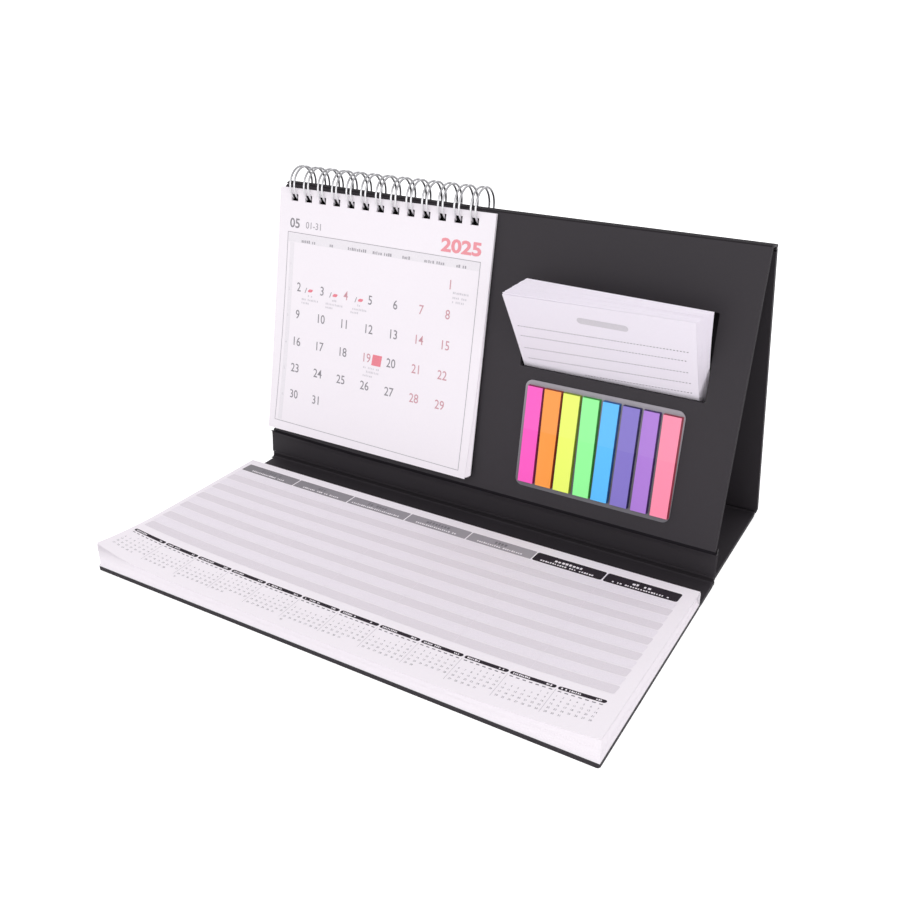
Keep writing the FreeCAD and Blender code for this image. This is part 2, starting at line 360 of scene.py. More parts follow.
# The camera sees plain white, while the object is lit by a slightly tinted sky.
world = bpy.data.worlds.new("surroundings")
bpy.context.scene.world = world
world.use_nodes = True
worldTree = world.node_tree
worldTree.nodes.clear()
worldOut = worldTree.nodes.new("ShaderNodeOutputWorld")
skyMix = worldTree.nodes.new("ShaderNodeMixShader")
rayKind = worldTree.nodes.new("ShaderNodeLightPath")
worldTree.links.new(rayKind.outputs["Is Camera Ray"], skyMix.inputs[0])
for slot, (colour, strength) in enumerate((((0.99, 0.98, 1.0), light["world"]), ((1, 1, 1), 1.0)), 1):
    sky = worldTree.nodes.new("ShaderNodeBackground")
    sky.inputs[0].default_value = (*colour, 1)
    sky.inputs[1].default_value = strength
    worldTree.links.new(sky.outputs[0], skyMix.inputs[slot])
worldTree.links.new(skyMix.outputs[0], worldOut.inputs[0])

ground = {"half": 6000, "level": -0.05, "colour": (0.9, 0.9, 0.9)}
groundFinish = Finish("floorWhite", ground["colour"], 0.9, Specular_IOR_Level=0.0)
groundFinish.glow((1, 1, 1), groundFinish.node("ShaderNodeLightPath", out="Is Camera Ray") * light["floor"])
groundCorners = np.array([[x * ground["half"], y * ground["half"], ground["level"]]
                          for x, y in ((-1, -1), (1, -1), (1, 1), (-1, 1))])
addMesh("floor", groundCorners, [[0, 1, 2, 3]], groundFinish.mat, False)
bpy.context.scene.view_settings.view_transform = "Standard"
bpy.context.scene.view_settings.look = "None"
print("camera and light set")

softEdge = {"board": 0.4, "small": 0.1, "segments": 3, "limit": 50, "sharp": 40}


def soften(node, mat, width):
    # A solid that stays gets a finish and rounded edges.
    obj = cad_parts[node]
    obj.data.materials.clear()
    obj.data.materials.append(mat)
    edge = obj.modifiers.new("softEdge", "BEVEL")
    edge.width = width * mm
    edge.segments = softEdge["segments"]
    edge.limit_method = "ANGLE"
    edge.angle_limit = math.radians(softEdge["limit"])
    obj.data.polygons.foreach_set("use_smooth", np.full(len(obj.data.polygons), True))
    sharpen(obj, softEdge["sharp"])


for node in ("planner_board", "spine_board", "riser_board", "back_panel", "floor_panel"):
    soften(node, coverMat, softEdge["board"])
# The hinge beads get the darker crease finish: painted shade.
for node in ("planner_hinge", "foot_hinge", "groove_hinge", "ridge_hinge", "heel_hinge"):
    soften(node, creaseMat, softEdge["small"])
for node, mat in (("note_pocket", trayMat), ("pad_backing", cardMat), ("pad_binding", cardMat)):
    soften(node, mat, softEdge["small"])


def rect(left, right, low, high, corner=0.0):
    # Outline with its corners cut by quarter circles.
    turn = np.linspace(0, math.pi / 2, 6) if corner else np.zeros(1)
    middles = np.array([[right, high], [left, high], [left, low], [right, low]]) \
        + corner * np.array([[-1, -1], [1, -1], [1, 1], [-1, 1]])
    ways = np.stack([np.cos(turn), np.sin(turn)], -1)
    parts = []
    for middle in middles:
        parts.append(middle + corner * ways)
        ways = np.stack([-ways[:, 1], ways[:, 0]], -1)
    return np.concatenate(parts)


def cutSheet(outer, holes, spot, high, low, foot):
    # A flat sheet with holes: both faces cut into triangles, and a band of quads round every edge.
    # The lower level stops short of the foot, which gives the fold its bevel.
    loops = [outer] + holes
    tris = tessellate_polygon([[Vector((x, y, 0)) for x, y in loop] for loop in loops])
    flat = np.concatenate(loops)
    count = len(flat)
    p = flat[np.array(tris)]
    way = np.cross(p[:, 1] - p[:, 0], p[:, 2] - p[:, 0])
    faces = [list(t) if w > 0 else list(t)[::-1] for t, w in zip(tris, way)]
    under = [[i + count for i in t[::-1]] for t in faces]
    start = 0
    sides = []
    for loop in loops:
        i = start + np.arange(len(loop))
        j = start + (np.arange(len(loop)) + 1) % len(loop)
        turned = np.sum(loop[:, 0] * np.roll(loop[:, 1], -1) - np.roll(loop[:, 0], -1) * loop[:, 1])
        quads = np.stack([j, i, i + count, j + count], -1)
        if (turned > 0) != (loop is outer):
            quads = quads[:, ::-1]
        sides += quads.tolist()
        start += len(loop)
    verts = np.concatenate([spot(flat[:, 0], flat[:, 1], high),
                            spot(flat[:, 0], np.maximum(flat[:, 1], foot), low)])
    # The band round every edge gets a darker copy of the cover: painted shade on the side faces.
    marks = [foldPlace["cover"]] * len(faces + under) + [foldPlace["edge"]] * len(sides)
    return verts, faces + under + sides, marks


# Front panel, turned a little in its plane, with the note window and the wire's holes.
panel = {"left": -117.2, "right": 121.1, "top": stand["length"] - 0.1, "turn": 0.9, "corner": 3.0,
         "bevel": 0.9, "rise": 1.15, "riseReach": 104, "riseShape": 1.3, "steps": 24,
         "window": (21.1, 106.3, 63.5, 101.0), "windowCorner": 0.8, "holeHalf": 2.1, "holeLow": 121.4,
         "holeHigh": 125.9}


def topLift(x):
    # The upper edge climbs towards the left, by a power of the way from the middle.
    return panel["rise"] * np.clip(-x / panel["riseReach"], 0, 1) ** panel["riseShape"]


bend = np.linspace(0, math.pi / 2, 6)
cornerX = panel["left"] + panel["corner"]
straight = np.stack([np.linspace(0, cornerX, panel["steps"]), np.zeros(panel["steps"])], -1)
roundEnd = np.stack([cornerX - panel["corner"] * np.sin(bend), -panel["corner"] * (1 - np.cos(bend))], -1)
upper = np.concatenate([straight, roundEnd])
upper[:, 1] += panel["top"] + topLift(upper[:, 0])
outer = np.concatenate([[[panel["left"], 0.0], [panel["right"], 0.0],
                         [panel["right"] + panel["turn"], panel["top"]]], upper])
cuts = [rect(*panel["window"], panel["windowCorner"])[::-1]]
cuts += [rect(x - panel["holeHalf"], x + panel["holeHalf"], panel["holeLow"], panel["holeHigh"])[::-1]
         for x in holeX]
verts, faces, marks = cutSheet(outer, cuts, onFront, 0.0, -stand["cover"], panel["bevel"])
place(addMesh("frontPanel", verts, faces, foldMats.values(), False, marks), "front", "cover_paper",
      "front_panel")
print("boards done")


def rounded(points, times=2):
    # Every corner of a closed outline becomes two, a quarter of the way to its neighbours.
    points = np.asarray(points, float)
    for _ in range(times):
        after = np.roll(points, -1, axis=0)
        points = np.stack([points * 0.75 + after * 0.25, points * 0.25 + after * 0.75], 1).reshape(-1, 2)
    return points


def drape(name, outline, left, right, zones=(), ripple=None, trim=None, lift=None):
    # Paper across a fold: a closed outline (y, z) carried along x. Trim cuts its left end back by an
    # amount read off against y (0) or z (1). Ripple is a mean of sines of random phase, fading from its
    # centre by a bell curve. Zones name the finish between two corners of the outline.
    points = rounded(outline)
    short = np.interp(points[:, trim[0]], *trim[1:]) if trim else 0.0
    share = np.linspace(0, 1, 300)[:, None]
    rings = np.empty((len(share), len(points), 3))
    rings[..., 0] = (left + short) * (1 - share) + right * share
    rings[..., 1:] = points
    if ripple:
        phase = rng.uniform(0, 2 * math.pi, 6)
        lengths = np.array([61.0, 37.0, 23.0, 14.0, 9.0, 5.5])
        sway = np.sin(rings[:, :1, 0] * 2 * math.pi / lengths + phase).mean(1)
        away = ((points - np.array(ripple["centre"])) ** 2).sum(1)
        sway = sway[:, None] * np.exp(-away / ripple["reach"] ** 2)
        rings[..., 2] += ripple["height"] * sway
        rings[..., 1] -= ripple["height"] * 0.6 * sway
    if lift:
        rings[..., 2] += lift(rings[..., 0], points[:, 1])
    corner = np.arange(len(points)) // 4
    marks = np.zeros(len(points), int)
    for first, last, finish in zones:
        marks[(corner >= first) & (corner < last)] = foldPlace[finish]
    marks = np.concatenate([np.tile(marks, len(share) - 1), [0, 0]])
    return addMesh(name, *loftParts(rings), foldMats.values(), True, marks)


def wrap(name, outline, bodies, start, end, left=-121.4, right=121.4, **shape):
    # Paper draped across the fold between two bodies.
    obj = drape(name, outline, left, right, **shape)
    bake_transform(obj)


lip = {"rise": 1.0, "from": 60, "reach": 60, "shape": 1.5, "foot": 8, "height": 7}


def lipLift(x, z):
    # The riser's lip stands a little higher towards its left end.
    way = np.clip((-x - lip["from"]) / lip["reach"], 0, 1) ** lip["shape"]
    return lip["rise"] * way * np.clip((z - lip["foot"]) / lip["height"], 0, 1)


def ridgeLift(x, z):
    # The ridge follows the front panel's upper edge, just above it.
    return topLift(x) + 0.1


groove = ((26.14, 5.2), (26.08, 8.0), (26.05, 12.0), (26.0, 14.4), (25.86, 15.5), (25.78, 16.2),
          (25.9, 16.75), (25.6, 17.05), (24.8, 17.3), (23.72, 17.5), (23.49, 17.83), (23.63, 18.41),
          (23.86, 18.98), (23.88, 18.98), (23.7, 18.4), (23.66, 17.74), (24.2, 17.6), (25.4, 17.36),
          (26.2, 17.0), (26.29, 16.25), (26.27, 12.0), (26.28, 5.2))
# Where this wrap lies on the front panel's foot it is painted shade, and along the riser's lip it gets a
# painted highlight.
wrap("grooveWrap", groove, ("riser", "front"), (0, 26.3, 15.9), (0, 24.6, 17.8), left=-122.7, right=122.0,
     zones=((8, 13, "deepShade"), (5, 7, "lipHighlight")), ripple={"height": 0.34, "centre": (25.8, 16.3), "reach": 1.1},
     trim=(1, (5, 15.5, 17.2, 18.3), (-0.5, 0.5, 0.6, 5.0)), lift=lipLift)
foot = ((23.6, 2.23), (24.9, 2.30), (25.5, 2.46), (25.95, 2.9), (26.1, 3.6), (26.14, 5.15), (26.28, 5.15),
        (26.29, 3.2), (26.2, 2.45), (25.7, 2.22), (23.6, 2.21))
# The crease at the riser's foot is painted shade.
wrap("footWrap", foot, ("spine", "riser"), (0, 25.2, 2.2), (0, 26.4, 3.4), left=-122.7,
     zones=((2, 4, "seamShade"),), ripple={"height": 0.12, "centre": (25.8, 2.7), "reach": 0.9})
trough = ((10.9, 2.22), (10.4, 2.30), (9.9, 2.05), (9.1, 1.80), (8.3, 2.05), (7.8, 2.30), (7.3, 2.22),
          (7.8, 2.21), (8.2, 1.85), (9.1, 1.62), (10.0, 1.85), (10.4, 2.21))
wrap("plannerWrap", trough, ("spine", "planner"), (0, 10.5, 2.0), (0, 7.7, 2.0))
heel = ((93.3, 2.24), (94.1, 2.42), (94.7, 2.75), (94.75, 2.3), (95.2, 0.7), (95.3, 0.12), (94.0, 0.10),
        (94.1, 1.2), (94.0, 2.21))
wrap("heelWrap", heel, ("floor", "back"), (0, 93.9, 1.6), (0, 95.4, 1.6), left=-120.4, right=120.4)
# The two outlines at the top are given along the panels: up the slope, then out of or into the board.
ridge = np.array([(129.0, 0.0), (129.25, 0.04), (129.5, -0.25), (129.7, -1.2), (129.85, -3.4),
                  (129.95, -6.4), (129.85, -9.4), (129.5, -10.8), (128.5, -10.9), (128.6, -9.4),
                  (128.7, -6.4), (128.5, -2.46), (128.4, -2.42), (129.31, -2.4), (129.31, -0.2),
                  (129.0, -0.1)])
# The ridge's top strip gets painted shade, and the rest of the ridge deeper painted shade.
place(drape("ridgeWrap", onFront(0, ridge[:, 0], ridge[:, 1])[:, 1:], -121.4, panel["right"] + 0.7,
            zones=((0, 4, "seamShade"), (4, 16, "deepShade")), trim=(0, (49.0, 57.0), (5.2, 0.0)), lift=ridgeLift),
      "front", "cover_paper", "ridge_strip")
crown = np.array([(145.5, -0.09), (146.3, -0.1), (147.3, 0.04), (148.3, 0.42), (148.75, 1.3),
                  (148.6, 1.4), (148.1, 0.62), (147.3, 0.24), (146.3, 0.08), (146.1, -0.03), (145.5, -0.03)])
wrap("crownWrap", onBack(0, crown[:, 0], crown[:, 1])[:, 1:], ("front", "back"), onBack(0, 147.6, 0.2),
     onBack(0, 146.6, 0.0))
print("wraps done")

# Weekly pad: pressed sheets on the planner board, and a loose sheet on top.
pad = {"sheets": 32, "left": -120.5, "backZ": 8.1, "frontZ": 7.9, "cup": 4.3, "cupBack": 0.12, "lowX": -5.0,
       "low": 2.8, "jitter": 0.16, "curl": 3.2, "across": 36.0, "along": 40.0, "touch": 0.05, "thick": 0.3,
       "ink": 0.035, "dent": 1.1, "dentX": 100, "dentAcross": 21.5, "dentY": -12, "dentAlong": 19}


def padHeight(x, y):
    # Top of the pressed sheets: both ends cup upwards, by the cube of the distance from the low line.
    t = (stand["padBack"] - y) / (stand["padBack"] - stand["frontEdge"])
    cup = pad["cup"] * np.abs((x - pad["lowX"]) / stand["half"]) ** 3
    level = pad["backZ"] + (pad["frontZ"] - pad["backZ"]) * t
    return level + cup * (pad["cupBack"] + (1 - pad["cupBack"]) * t)


def padCurl(x, y):
    # Rise towards the front left corner: a cubed ramp across times a squared one along.
    u = np.clip(1 - (x - pad["left"]) / pad["across"], 0, None)
    v = np.clip(1 - (y - stand["frontEdge"]) / pad["along"], 0, None)
    return pad["curl"] * u ** 3 * v * v


def padTop(x, y):
    # Upper face of the loose sheet.
    return padHeight(x, y) + pad["touch"] + padCurl(x, y) + pad["thick"]


def padGrid(nx, ny, left=0.0, right=0.0, front=0.0, dent=0.0):
    # One sheet, its ends and front edge moved, its back right corner dented by two squared ramps.
    u, t = np.meshgrid(np.linspace(0, 1, nx), np.linspace(1, 0, ny), indexing="ij")
    x = (pad["left"] + left * t) * (1 - u) + (stand["half"] - right) * u
    y = stand["padBack"] + (stand["frontEdge"] + front - stand["padBack"]) * t
    near = np.clip((x - pad["dentX"]) / pad["dentAcross"], 0, 1) ** 2
    near = near * np.clip((y - pad["dentY"]) / pad["dentAlong"], 0, 1) ** 2
    return x - dent * near, y - 0.5 * dent * near


heap = Heap()
for k in range(pad["sheets"]):
    level = (k + 1) / pad["sheets"]
    slip = rng.uniform(0, 2, 3) * pad["jitter"]
    dent = pad["dent"] * math.sin(math.pi * level)
    x, y = padGrid(30, 14, 0.6 + slip[0], slip[1] * 0.45, slip[2] * 0.5, dent)
    thick = (padHeight(x, y) - pad["low"]) / pad["sheets"]
    z = pad["low"] + thick * (k + 1) + padCurl(x, y) * level ** 6 * 0.75
    heap.add(*slabParts(np.stack([x, y, z], -1), np.stack([x, y, z - thick * 0.99], -1)))
place(sharpen(heap.piece("padSheets", paperMat)), "planner", "white_sheets", "pad_sheets")

x, y = padGrid(64, 36, 1.0, 0.15)
z = padTop(x, y)
verts, faces = slabParts(np.stack([x, y, z], -1), np.stack([x, y, z - pad["thick"] * 0.6], -1))
place(sharpen(addMesh("padTopSheet", verts, faces.tolist(), paperMat)), "planner", "printed_planner",
      "pad_top_sheet")
print("pad done")

words = {"gaps": 0.12, "vary": 0.3, "narrow": 0.45, "wide": 0.8}
# Printed bars have stations this far apart, so that they follow a curved sheet.
barStep = 2.5


def bar(spot, x0, x1, y0, y1, radius=0.0, slant=0.0):
    # A printed bar laid on a sheet, its corners quarter circles of the given radius.
    middle = (y0 + y1) / 2
    half = abs(y1 - y0) / 2
    cols = np.linspace(x0 + radius, x1 - radius, max(2, int(abs(x1 - x0) / barStep) + 1))
    tall = np.full(len(cols), half)
    if radius:
        turn = np.linspace(0, math.pi / 2, 5)[:-1]
        cols = np.concatenate([x0 + radius - radius * np.cos(turn), cols,
                               x1 - radius + radius * np.cos(turn[::-1])])
        rise = half - radius + radius * np.sin(turn)
        tall = np.concatenate([rise, tall, rise[::-1]])
    u = np.stack([cols, cols], -1)
    v = np.stack([middle - tall, middle + tall], -1)
    return spot(u + slant * (v - middle), v).reshape(-1, 3), gridFaces(len(cols), 2)


def wordBars(spot, x0, x1, y, height, letter):
    # In place of small print: short upright bars, broken into words.
    count = max(1, int((x1 - x0) / letter))
    keep = rng.uniform(size=count) >= words["gaps"]
    tall = height * rng.uniform(1 - words["vary"], 1.0, count)
    wide = letter * rng.uniform(words["narrow"], words["wide"], count)
    foot = y - height / 2
    return [bar(spot, x0 + i * letter, x0 + i * letter + wide[i], foot, foot + tall[i])
            for i in np.flatnonzero(keep)]


glyphs = {}


def glyph(text, weight):
    # Flat mesh of some digits, made only once.
    if (text, weight) not in glyphs:
        curve = bpy.data.curves.new("glyphs", "FONT")
        curve.body = text
        curve.align_x = "CENTER"
        curve.align_y = "CENTER"
        curve.offset = weight
        curve.resolution_u = 3
        holder = bpy.data.objects.new("glyphs", curve)
        bpy.context.scene.collection.objects.link(holder)
        bpy.context.view_layer.update()
        mesh = bpy.data.meshes.new_from_object(holder)
        flat = np.empty(len(mesh.vertices) * 3)
        mesh.vertices.foreach_get("co", flat)
        glyphs[text, weight] = (flat.reshape(-1, 3)[:, :2], [list(face.vertices) for face in mesh.polygons])
        bpy.data.objects.remove(holder)
        bpy.data.curves.remove(curve)
        bpy.data.meshes.remove(mesh)
    return glyphs[text, weight]


def digits(numbers, spot, size, narrow=1.0, weight=0.004):
    # Each entry is a text with the place of its middle.
    made = []
    for text, x, y in numbers:
        flat, faces = glyph(text, weight)
        made.append((spot(x + flat[:, 0] * size * narrow, y + flat[:, 1] * size), faces))
    return made


def printPiece(name, parts, mat, body, slot, up=0.0):
    # Printed parts as one piece; up lays it over other print.
    heap = Heap()
    for verts, faces in parts:
        heap.add(verts + np.array([0, 0, up]), faces)
    place(heap.piece(name, mat, False), body, slot)


# Weekly page: day headings, ruled rows and a year of small months along the front edge.
week = {"left": -118.0, "right": 116.0, "high": 2.2, "low": -4.6, "rows": 12, "rowTop": -4.9, "rowDrop": 5.62,
        "line": 0.5, "gap": 0.3, "slant": 0.05, "columnHalf": 0.1, "columnLow": -72.2, "columnHigh": -5.2}
page = {"left": -118.2, "width": 233.5, "back": 2, "depth": 95, "shift": 0.9, "drop": 0.85}
# Where each heading's two lines of words start and end: the day's name, then a smaller line under it.
dayWords = ((-107.5, -94.5, -112, -91), (-71, -65, -79, -57), (-41, -28, -50, -20), (-7.5, 6, -12, 11),
            (29, 35.5, 21, 45))
weekendWords = ((59, 73.5, 53, 79), (95, 103.5, 85.5, 113))


def weekSpot(x, y):
    # The print is turned a little on its sheet.
    x, y = np.broadcast_arrays(np.asarray(x, float), y)
    u = (x - page["left"]) / page["width"]
    x = x + page["shift"] * (1 - u) * (page["back"] - y) / page["depth"]
    y = y - page["drop"] * u
    return np.stack([x, y, padTop(x, y) + pad["ink"]], -1)


cell = (week["right"] - week["left"]) / 7
heads = []
weekendHeads = []
for k in range(7):
    x0 = week["left"] + cell * k + week["gap"]
    x1 = week["left"] + cell * (k + 1) - week["gap"]
    weekend = k > 4
    (weekendHeads if weekend else heads).append(bar(weekSpot, x0, x1, week["low"], week["high"],
                                                    1.0 if weekend else 0.4, week["slant"]))
wordsDark = []
wordsLight = []
for x0, x1, x2, x3 in dayWords:
    wordsDark += wordBars(weekSpot, x0, x1, -0.2, 2.0, 1.6)
    wordsLight += wordBars(weekSpot, x2, x3, -2.9, 1.1, 1.1)
for x0, x1, x2, x3 in weekendWords:
    wordsLight += wordBars(weekSpot, x0, x1, -0.6, 1.7, 1.7)
    wordsLight += wordBars(weekSpot, x2, x3, -3.0, 1.1, 1.15)
rowsPale = []
rowsGrey = []
for k in range(week["rows"]):
    y0 = week["rowTop"] - week["rowDrop"] * k - week["line"] / 2
    y1 = y0 - week["rowDrop"] + week["line"]
    (rowsGrey if k % 2 else rowsPale).append(bar(weekSpot, week["left"], week["right"], y1, y0, 0.8, 0.1))
columnLines = [bar(weekSpot, x - week["columnHalf"], x + week["columnHalf"], week["columnLow"],
                   week["columnHigh"]) for x in week["left"] + cell * np.arange(1, 7)]
year = {"left": -118.6, "pitch": 19.52, "high": -76.5, "low": -78.35, "column": 2.66, "row": 2.32,
        "first": -82.2, "indent": 1.9, "size": 1.35, "narrow": 0.9, "line": 0.06, "lineLow": 14.5,
        "firstDay": 2, "days": (31, 28, 31, 30, 31, 30, 31, 31, 30, 31, 30, 31)}
weekday = year["firstDay"]
pills = []
numbers = []
dashes = []
yearLines = []
for k in range(12):
    x0 = year["left"] + year["pitch"] * k
    pills.append(bar(weekSpot, x0 + 0.4, x0 + year["pitch"] - 0.4, year["low"], year["high"], 0.9, 0.1))
    middle = (year["low"] + year["high"]) / 2
    wordsLight += wordBars(weekSpot, x0 + 1.6, x0 + 8.0 + k % 3, middle, 0.95, 0.8)
    wordsLight += wordBars(weekSpot, x0 + 15.2, x0 + 18.3, middle, 0.95, 0.8)
    dashes += [bar(weekSpot, x0 + 1.1 + year["column"] * i, x0 + 2.5 + year["column"] * i,
                   year["low"] - 1.35, year["low"] - 0.85) for i in range(7)]
    if k:
        yearLines.append(bar(weekSpot, x0 - year["line"], x0 + year["line"], year["low"] - year["lineLow"],
                             year["low"] - 0.4))
    for day in range(year["days"][k]):
        numbers.append((str(day + 1), x0 + year["indent"] + year["column"] * ((weekday + day) % 7),
                        year["first"] - year["row"] * ((weekday + day) // 7)))
    weekday = (weekday + year["days"][k]) % 7
# The headings get lighter from left to right.
headFinish = Finish("headingPrint", (0.3, 0.29, 0.31), 0.8)
headFinish.base(headFinish.mix(headFinish.split(0) * 6.0 + 0.72, (0.215, 0.205, 0.22), (0.36, 0.34, 0.37)))
weekPieces = {"headings": (heads, headFinish.mat, 0.0),
              "weekendHeadings": (weekendHeads + pills, inkMats["ink"], 0.0),
              "rowsPale": (rowsPale, inkMats["rowPale"], 0.0),
              "rowsGrey": (rowsGrey, inkMats["rowGrey"], 0.0),
              "columnLines": (columnLines, inkMats["column"], 0.02),
              "headingWords": (wordsDark, inkMats["text"], 0.03),
              "headingLights": (wordsLight, lightInkMat, 0.03),
              "yearDashes": (dashes, inkMats["text"], 0.0),
              "yearLines": (yearLines, inkMats["grey"], 0.0),
              "yearDays": (digits(numbers, weekSpot, year["size"], year["narrow"]), inkMats["day"], 0.0)}
for name, (parts, mat, up) in weekPieces.items():
    printPiece(name, parts, mat, "planner", "printed_planner", up)
print("weekly page done")

# Calendar: a backing card, the stack of later months and the month in front, hung on the wire.
leaf = {"left": -120.5, "right": 2.5, "top": 128.4, "height": 123.4, "splay": 0.7, "start": 0.3, "trim": 1.6,
        "backing": 0.5, "stack": 0.6, "thick": 0.2, "sheets": 9, "holeLow": 122.25, "holeHigh": 125.5,
        "holeHalf": 2.1, "holeShift": -0.2, "bow": 0.35, "ink": 0.04}


def leafFace(x, s, level):
    # Height off the panel: a tilt about the top edge and a bow that grows downwards.
    drop = leaf["top"] - s
    tilt = drop * math.tan(math.radians(leaf["splay"]))
    u = (x - leaf["left"]) / (leaf["right"] - leaf["left"])
    bow = leaf["bow"] * np.sin(np.pi * u) * (drop / leaf["height"]) ** 2
    return level + tilt - bow * 0.4 + 0.2 * (drop / leaf["height"]) ** 3 * (1 - u)


def leafSlab(level, thick, turn=0.0, lower=0.0):
    # One sheet with its row of holes; turn bends its free end sideways.
    centres = holeX + leaf["holeShift"]
    edges = np.sort(np.concatenate([centres - leaf["holeHalf"], centres + leaf["holeHalf"], centres]))
    xs = np.concatenate([[leaf["left"] + leaf["trim"]], edges, [leaf["right"]]])
    ss = np.concatenate([np.linspace(leaf["top"] - leaf["height"] + lower, leaf["holeLow"], 24),
                         [leaf["holeHigh"], leaf["top"]]])
    x, s = np.meshgrid(xs, ss, indexing="ij")
    mask = np.ones((len(xs) - 1, len(ss) - 1), bool)
    hole = (np.abs(((xs[:-1] + xs[1:]) / 2)[:, None] - centres[None]) < leaf["holeHalf"]).any(1)
    mask[hole, -2] = False
    w = leafFace(x, s, level)
    share = 0.45 + 0.55 * (x - leaf["left"]) / (leaf["right"] - leaf["left"])
    x = x - turn * share * ((leaf["top"] - s) / leaf["height"]) ** 2.5
    return slabParts(onFront(x, s, w), onFront(x, s, w - thick), mask)


base = leaf["start"] + leaf["backing"]
backing = leafSlab(base, leaf["backing"] * 0.95, 0, 1.6)
place(sharpen(addMesh("calendarBacking", *backing, cardMat)), "calendar", "white_card", "calendar_backing")
heap = Heap()
step = leaf["stack"] / leaf["sheets"]
for k in range(leaf["sheets"]):
    level = k / leaf["sheets"]
    heap.add(*leafSlab(base + step * (k + 1), step * 0.9, 2.3 * level ** 1.4, 1.7 - 1.6 * level))
place(sharpen(heap.piece("monthStack", paperMat)), "calendar", "white_sheets", "month_stack")
leafLevel = base + leaf["stack"] + 0.05 + leaf["thick"]
place(sharpen(addMesh("monthLeaf", *leafSlab(leafLevel, leaf["thick"] * 0.8, 2.5, -0.5), paperMat)), "leaf",
      "printed_leaf", "month_leaf")


def leafSpot(x, s):
    # Just off the front leaf, for print.
    return onFront(x, s, leafFace(x, s, leafLevel) + leaf["ink"])


def underSpot(x, s):
    # Half as high off the leaf, for print that other print lies on.
    return onFront(x, s, leafFace(x, s, leafLevel) + leaf["ink"] / 2)


def ribbon(spot, x0, y0, x1, y1, width, bend=0.0, steps=24):
    # A printed line between two points; bend makes it curve on its way.
    t = np.linspace(0, 1, steps)
    x = x0 + (x1 - x0) * t ** (1 + bend)
    y = y0 + (y1 - y0) * t
    side = np.array([y0 - y1, x1 - x0]) / math.hypot(x1 - x0, y1 - y0) * width / 2
    u = np.stack([x - side[0], x + side[0]], -1)
    v = np.stack([y - side[1], y + side[1]], -1)
    return spot(u, v).reshape(-1, 3), gridFaces(steps, 2)


# Month page: a grid of plain day numbers inside a ruled frame, with small plain marks.
month = {"left": -104.4, "pitch": 14.5, "top": 94.2, "drop": 13.85, "sink": 0.09, "size": 6.3, "narrow": 0.86,
         "first": 6, "line": 0.3, "redDays": (1, 4, 19), "marks": (-97.3, -82.0, -66.7),
         "nameWidths": (8.2, 3.6, 9.5, 9.5, 5.5, 9.5, 5.0), "weekHeights": (91.5, 79, 65.5, 51.5, 38, 24)}
# Lines of small print: start, end and height of each.
smallPrint = ((-15.7, -7, 91), (-15.7, -7.5, 88.8), (-15.7, -9.0, 86.8), (-98.5, -95.5, 77.0),
              (-102.3, -91.5, 75.0), (-102.3, -97, 73.2), (-83.5, -80.5, 77.0), (-87.3, -76.5, 75.0),
              (-87.3, -82, 73.2), (-68.2, -65.2, 77.0), (-72, -61.2, 75.0), (-72, -66.7, 73.2),
              (-62.3, -52, 47.5), (-62.3, -52.5, 45.5), (-62.3, -56, 43.5))
# Corners of the ruled frame, clockwise from the upper left; its upright sides bend on their way down.
frameCorners = ((-112.8, 107.1), (-3.0, 106.5), (-3.9, 8.0), (-116.0, 9.4))
greyDays = []
redDays = []
for day in range(1, 32):
    col = (day - 1 + month["first"]) % 7
    row = (day - 1 + month["first"]) // 7
    spot = (str(day), month["left"] + month["pitch"] * col,
            month["top"] - month["drop"] * row - month["sink"] * max(0, row - 1) * col)
    (redDays if col >= 5 or day in month["redDays"] else greyDays).append(spot)
marks = [bar(leafSpot, -57.4, -52.0, 49.2, 54.6, 0, 0.12)]
strokes = []
for x in month["marks"]:
    marks.append(bar(leafSpot, x - 1.2, x + 1.5, 78.9, 80.4, 0.7, 0.6))
    strokes.append(bar(leafSpot, x - 2.9, x - 2.4, 78.2, 80.9, 0, 0.35))
ruled = [ribbon(leafSpot, *frameCorners[i], *frameCorners[j], month["line"], bend)
         for i, j, bend in ((0, 1, 0.0), (0, 3, 1.0), (1, 2, 1.0), (3, 2, 0.0))]
names = []
for k, wide in enumerate(month["nameWidths"]):
    middle = -99.2 + month["pitch"] * k
    names += wordBars(leafSpot, middle - wide * 0.6, middle + wide * 0.6, 103.4, 1.5, 1.1)
faint = []
for x0, x1, y in smallPrint:
    faint += wordBars(leafSpot, x0, x1, y, 1.05, 0.95)
for k, s in enumerate(month["weekHeights"]):
    faint += digits([(str(k + 1), -110.0 - 2.2 * (1 - s / 100), s)], leafSpot, 2.0)
greyParts = digits(greyDays, leafSpot, month["size"], month["narrow"])
greyParts += digits([("05", -108.7, 111.4)], leafSpot, 6.4, 1.0, 0.015)
days = digits([("01-31", -97.0, 111.2)], leafSpot, 4.6, 0.95)
bands = [bar(underSpot, -112.6, -3.2, 102.4, 106.6), ribbon(underSpot, -109.9, 102.2, -112.8, 10, 2.6, 1.0)]
monthPieces = {"monthNumbers": (greyParts, "day"),
               "monthReds": (digits(redDays, leafSpot, month["size"], month["narrow"]), "softRed"),
               "monthMarks": (marks, "red"),
               "yearNumber": (digits([("2025", -13.5, 111.6)], leafSpot, 8.2, 1.3, 0.035), "title"),
               "monthFrame": (ruled + strokes + days + names, "grey"),
               "monthSmallPrint": (faint, "pale"),
               "monthBands": (bands, "band")}
for name, (parts, ink) in monthPieces.items():
    printPiece(name, parts, inkMats[ink], "leaf", "printed_leaf")
print("month page done")

